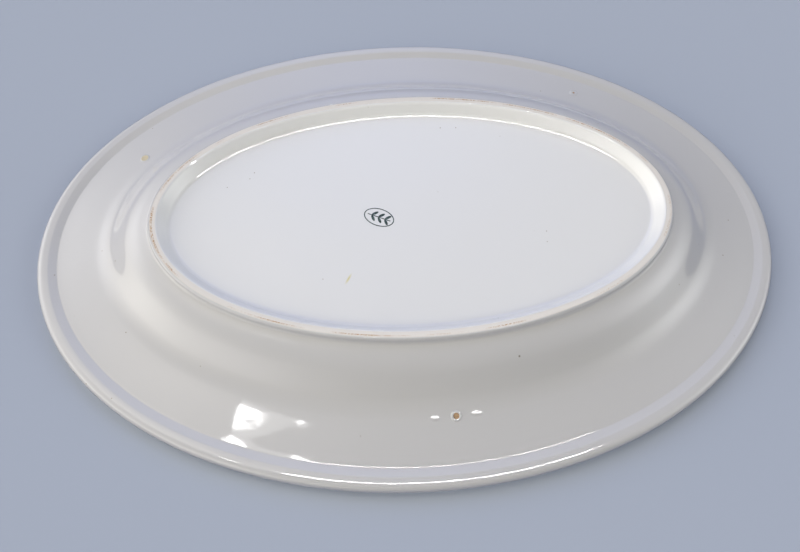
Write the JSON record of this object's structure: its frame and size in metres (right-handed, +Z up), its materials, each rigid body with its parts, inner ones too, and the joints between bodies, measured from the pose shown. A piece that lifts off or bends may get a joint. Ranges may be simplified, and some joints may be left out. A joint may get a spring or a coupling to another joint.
{
  "type": "serving platter",
  "caption": "Oval serving platter of thick white glazed hotel china, with a rolled rim, a tilted flange, a shallow well and an oval foot ring with a bare bearing edge.",
  "frame": {"origin": "under the middle of the well, in the plane of the foot ring's bearing edge", "axes": "+X along the long axis, +Y across it, +Z up, out of the well; the platter stands on its foot"},
  "size_m": [0.343, 0.236, 0.028],
  "materials": {
    "vitrified_body": "bare fired clay body, cream, fine matt grain, faintly stained where the foot has rubbed",
    "clear_white_glaze": "glossy white glaze with a slight waviness and a few dark specks",
    "stamp_ink": "dark green printed ceramic colour, softly glossy",
    "pin_scar": "rough ochre-brown scar with a glossy raised edge"
  },
  "bodies": {
    "root": {"china_body": "vitrified_body", "glaze_coat": "clear_white_glaze", "base_glaze": "clear_white_glaze", "backstamp": "stamp_ink", "pin_mark_1": "pin_scar", "pin_mark_2": "pin_scar", "pin_mark_3": "pin_scar"}
  },
  "joints": []
}
